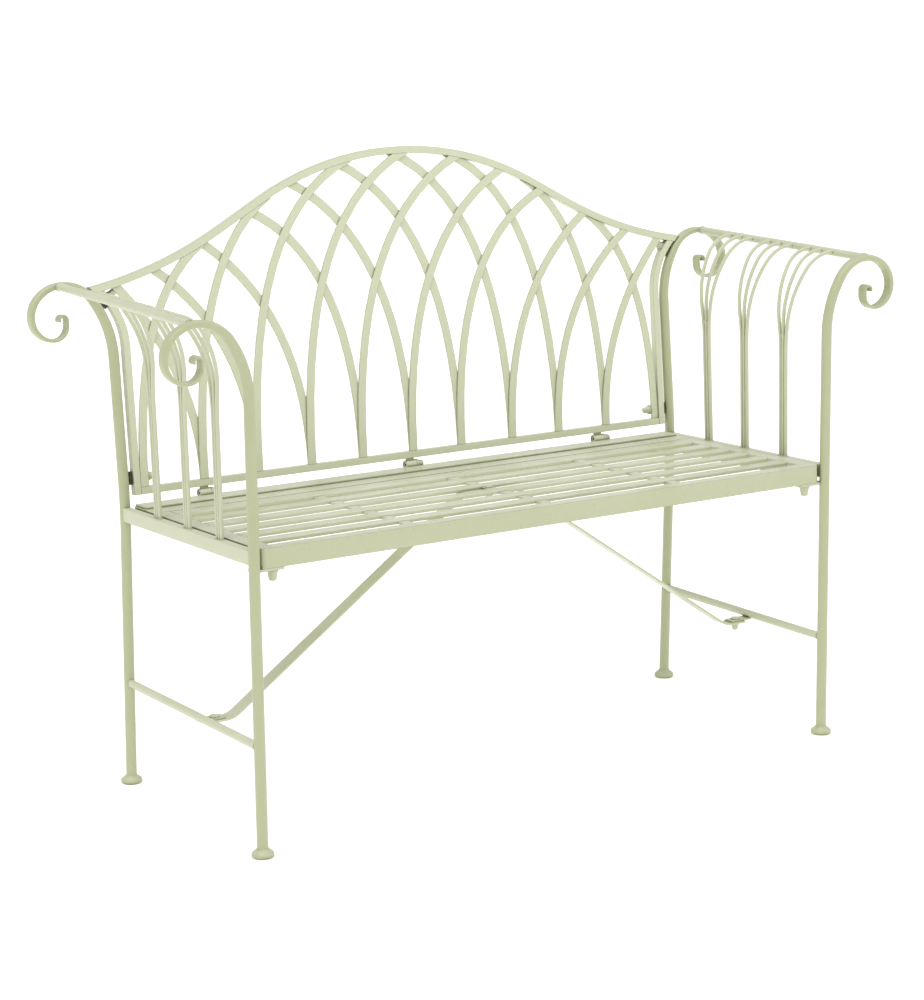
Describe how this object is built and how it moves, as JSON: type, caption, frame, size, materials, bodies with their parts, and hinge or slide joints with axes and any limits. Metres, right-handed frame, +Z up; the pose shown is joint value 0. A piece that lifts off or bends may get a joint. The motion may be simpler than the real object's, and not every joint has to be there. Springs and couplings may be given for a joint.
{
  "type": "garden bench",
  "caption": "Metal garden bench with an arched lattice back, scrolled legs with arm rails over fanned rods, a slatted seat panel and diagonal braces.",
  "frame": {"origin": "centre of the bench's footprint box, on the ground", "axes": "+X to the right of someone facing the front, along the seat; +Y towards the back; +Z up"},
  "size_m": [1.269, 0.4574, 0.9294],
  "materials": {
    "frame_paint": "satin sage-cream paint, worn to olive at the edges and joints",
    "seat_paint": "satin sage-cream paint, a little lighter on the flat tops",
    "back_paint": "satin sage-cream paint with dark olive in the crossings",
    "painted_hardware": "satin sage-cream paint over cap nuts and bolt heads",
    "dark_rubber": "dusty dark rubber discs between the back and the legs",
    "hidden_steel": "plain zinc-plated steel"
  },
  "bodies": {
    "root": {"left_front_leg": "frame_paint", "right_front_leg": "frame_paint", "left_rear_leg": "frame_paint", "right_rear_leg": "frame_paint", "feet": "frame_paint", "left_arm_rail": "frame_paint", "right_arm_rail": "frame_paint", "left_side_rail": "frame_paint", "right_side_rail": "frame_paint", "left_stretcher": "frame_paint", "right_stretcher": "frame_paint", "left_front_rods": "frame_paint", "left_middle_rods": "frame_paint", "left_rear_rods": "frame_paint", "right_front_rods": "frame_paint", "right_middle_rods": "frame_paint", "right_rear_rods": "frame_paint", "seat_tabs": "frame_paint", "brace_tabs": "frame_paint", "seat_front_rail": "seat_paint", "seat_rear_rail": "seat_paint", "seat_left_rail": "seat_paint", "seat_right_rail": "seat_paint", "seat_slat_1": "seat_paint", "seat_slat_2": "seat_paint", "seat_slat_3": "seat_paint", "seat_slat_4": "seat_paint", "seat_slat_5": "seat_paint", "seat_slat_6": "seat_paint", "seat_rear_strip": "seat_paint", "seat_cross_bars": "seat_paint", "seat_back_tabs": "back_paint", "back_top_rail": "back_paint", "back_bottom_rail": "back_paint", "back_left_upright": "back_paint", "back_right_upright": "back_paint", "front_strips_left": "back_paint", "front_strips_middle": "back_paint", "front_strips_right": "back_paint", "rear_strips_left": "back_paint", "rear_strips_middle": "back_paint", "rear_strips_right": "back_paint", "back_tabs": "back_paint", "back_spacers": "dark_rubber", "left_brace": "frame_paint", "right_brace": "frame_paint", "seat_bolts": "painted_hardware", "seat_cap_nuts": "painted_hardware", "back_studs": "hidden_steel", "back_cap_nuts": "painted_hardware", "back_washers": "painted_hardware", "leg_inserts": "hidden_steel", "tab_bolts": "painted_hardware", "tab_cap_nuts": "painted_hardware", "brace_bolts": "painted_hardware", "brace_cap_nuts": "painted_hardware"}
  },
  "joints": []
}
